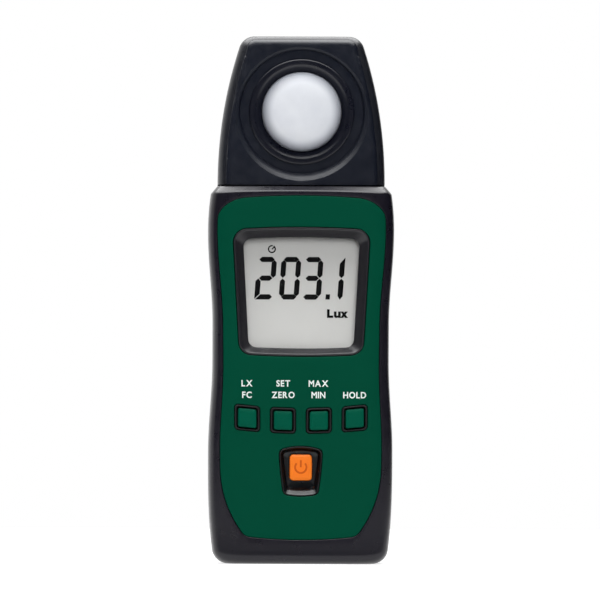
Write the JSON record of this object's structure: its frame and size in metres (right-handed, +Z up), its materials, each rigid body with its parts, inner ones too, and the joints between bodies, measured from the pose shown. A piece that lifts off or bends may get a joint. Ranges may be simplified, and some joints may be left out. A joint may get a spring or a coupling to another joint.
{
  "type": "pocket light meter",
  "caption": "Hand-held light meter: waisted case in a rubber grip, with a display, function keys, a power key and a fixed head that holds a domed light sensor; battery door at the back.",
  "frame": {"origin": "The middle of the flat foot, in the plane it stands on.", "axes": "+Z runs up from the foot to the sensor head. -Y is the front, with the display and keys, and +Y the back, with the battery door. +X is to the right, seen from the front."},
  "size_m": [0.0468, 0.0237, 0.133],
  "materials": {
    "case_green": "satin moulded",
    "key_green": "satin moulded",
    "grip_rubber": "fine matte",
    "case_black": "fine spark-eroded",
    "trim_black": "semi-gloss",
    "seal_rubber": "matte",
    "orange": "satin moulded",
    "opal": "opal, satin",
    "clear": "polished acrylic",
    "display": "reflective liquid crystal",
    "holder_white": "matte",
    "connector_rubber": "striped",
    "board": "solder resist",
    "chip": "potting resin",
    "ribbon": "flat cable",
    "filter_glass": "coloured glass",
    "sensor_metal": "plated can",
    "switch_metal": "stamped",
    "contact_metal": "nickel plated",
    "cell_sleeve": "printed sleeve",
    "screw_steel": "blackened"
  },
  "bodies": {
    "housing": {"front_case": "case_green", "grip_surround": "grip_rubber", "rear_case": "case_black", "head_cover": "case_black", "sensor_collar": "trim_black", "diffuser_dome": "opal", "eye_response_filter": "filter_glass", "photodiode": "sensor_metal", "sensor_board": "board", "sensor_ribbon": "ribbon", "display_bezel": "trim_black", "display_window": "clear", "display_glass": "display", "display_holder": "holder_white", "display_connector": "connector_rubber", "main_board": "board", "controller": "chip", "key_frame": "seal_rubber", "key_switch_1": "switch_metal", "key_switch_2": "switch_metal", "key_switch_3": "switch_metal", "key_switch_4": "switch_metal", "power_well": "trim_black", "power_switch": "switch_metal", "cell_left": "cell_sleeve", "cell_right": "cell_sleeve", "spring_left": "contact_metal", "spring_right": "contact_metal", "contact_bridge": "contact_metal", "contact_plus": "contact_metal", "contact_minus": "contact_metal", "case_screw_1": "screw_steel", "case_screw_2": "screw_steel", "case_screw_3": "screw_steel", "case_screw_4": "screw_steel", "head_screw_1": "screw_steel", "head_screw_2": "screw_steel"},
    "key_1_units": {"key_1_units": "key_green"},
    "key_2_zero": {"key_2_zero": "key_green"},
    "key_3_peak": {"key_3_peak": "key_green"},
    "key_4_hold": {"key_4_hold": "key_green"},
    "power_key": {"power_key": "orange"},
    "battery_door": {"battery_door": "case_black", "door_screw": "screw_steel"}
  },
  "joints": [
    {"name": "key_1_units_press", "type": "slide", "parent": "housing", "child": "key_1_units", "axis": [0, 1, 0], "range_m": [0, 0.0008], "stiffness_N_per_m": 400},
    {"name": "key_2_zero_press", "type": "slide", "parent": "housing", "child": "key_2_zero", "axis": [0, 1, 0], "range_m": [0, 0.0008], "stiffness_N_per_m": 400},
    {"name": "key_3_peak_press", "type": "slide", "parent": "housing", "child": "key_3_peak", "axis": [0, 1, 0], "range_m": [0, 0.0008], "stiffness_N_per_m": 400},
    {"name": "key_4_hold_press", "type": "slide", "parent": "housing", "child": "key_4_hold", "axis": [0, 1, 0], "range_m": [0, 0.0008], "stiffness_N_per_m": 400},
    {"name": "power_key_press", "type": "slide", "parent": "housing", "child": "power_key", "axis": [0, 1, 0], "range_m": [0, 0.0008], "stiffness_N_per_m": 400},
    {"name": "battery_door_swing", "type": "hinge", "parent": "housing", "child": "battery_door", "pos_m": [0, 0.0115, 0.00595], "axis": [-1, 0, 0], "range_deg": [0, 60]}
  ]
}
